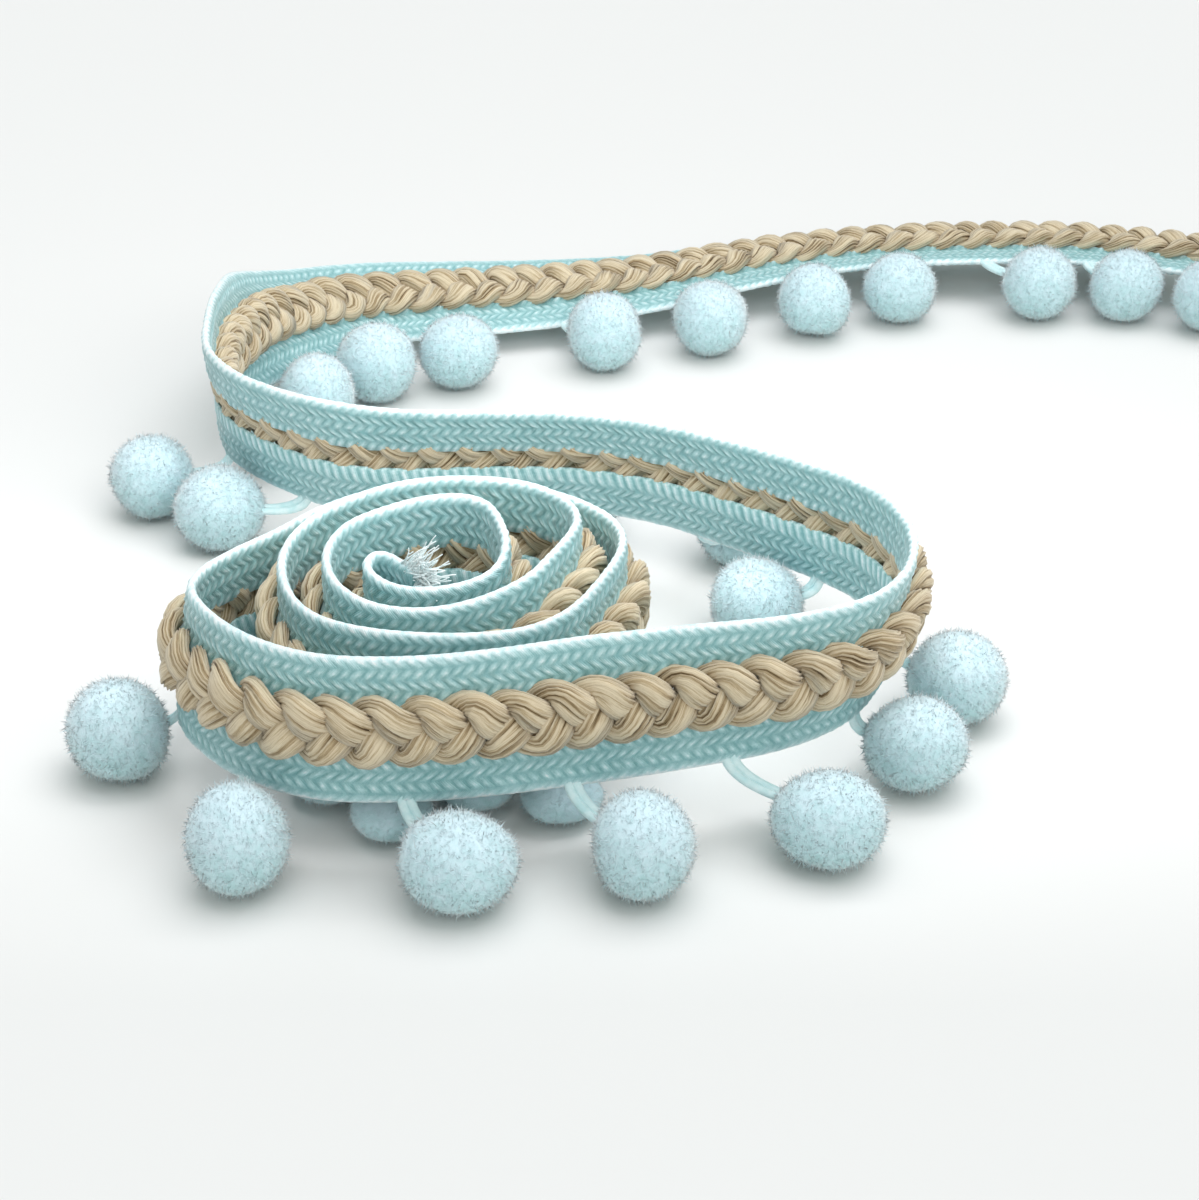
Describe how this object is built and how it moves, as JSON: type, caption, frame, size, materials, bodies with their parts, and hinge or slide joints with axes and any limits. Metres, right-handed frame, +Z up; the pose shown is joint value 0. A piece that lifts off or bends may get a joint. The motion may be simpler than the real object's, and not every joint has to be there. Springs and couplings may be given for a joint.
{
  "type": "pompom fringe trim",
  "caption": "Length of pompom fringe trim: a raised cotton plait between two braided tapes with small pompoms hung along one edge, loosely rolled at one end and laid out in a bend.",
  "frame": {"origin": "on the surface the trim stands on, under the middle of its box", "axes": "+Z up, the trim standing on its pompoms; +X to the right and +Y away as the roll's front stretch is looked at; the roll is at the front left"},
  "size_m": [0.1534, 0.173, 0.0258],
  "materials": {
    "aqua_tape": "satin braided yarn, pale aqua",
    "natural_cotton": "matte undyed cotton, beige",
    "aqua_pompom": "dense fluffy cut yarn, pale aqua"
  },
  "bodies": {
    "root": {"tape_upper": "aqua_tape", "tape_lower": "aqua_tape", "plait": "natural_cotton", "pompom_01": "aqua_pompom", "pompom_02": "aqua_pompom", "pompom_03": "aqua_pompom", "pompom_04": "aqua_pompom", "pompom_05": "aqua_pompom", "pompom_06": "aqua_pompom", "pompom_07": "aqua_pompom", "pompom_08": "aqua_pompom", "pompom_09": "aqua_pompom", "pompom_10": "aqua_pompom", "pompom_11": "aqua_pompom", "pompom_12": "aqua_pompom", "pompom_13": "aqua_pompom", "pompom_14": "aqua_pompom", "pompom_15": "aqua_pompom", "pompom_16": "aqua_pompom", "pompom_17": "aqua_pompom", "pompom_18": "aqua_pompom", "pompom_19": "aqua_pompom", "pompom_20": "aqua_pompom", "pompom_21": "aqua_pompom", "pompom_22": "aqua_pompom", "pompom_23": "aqua_pompom", "pompom_24": "aqua_pompom", "pompom_25": "aqua_pompom", "pompom_26": "aqua_pompom", "pompom_27": "aqua_pompom", "pompom_28": "aqua_pompom", "pompom_29": "aqua_pompom", "pompom_30": "aqua_pompom", "pompom_31": "aqua_pompom", "pompom_32": "aqua_pompom", "pompom_33": "aqua_pompom", "pompom_34": "aqua_pompom", "pompom_35": "aqua_pompom", "pompom_36": "aqua_pompom", "pompom_37": "aqua_pompom", "pompom_38": "aqua_pompom", "pompom_39": "aqua_pompom"}
  },
  "joints": []
}
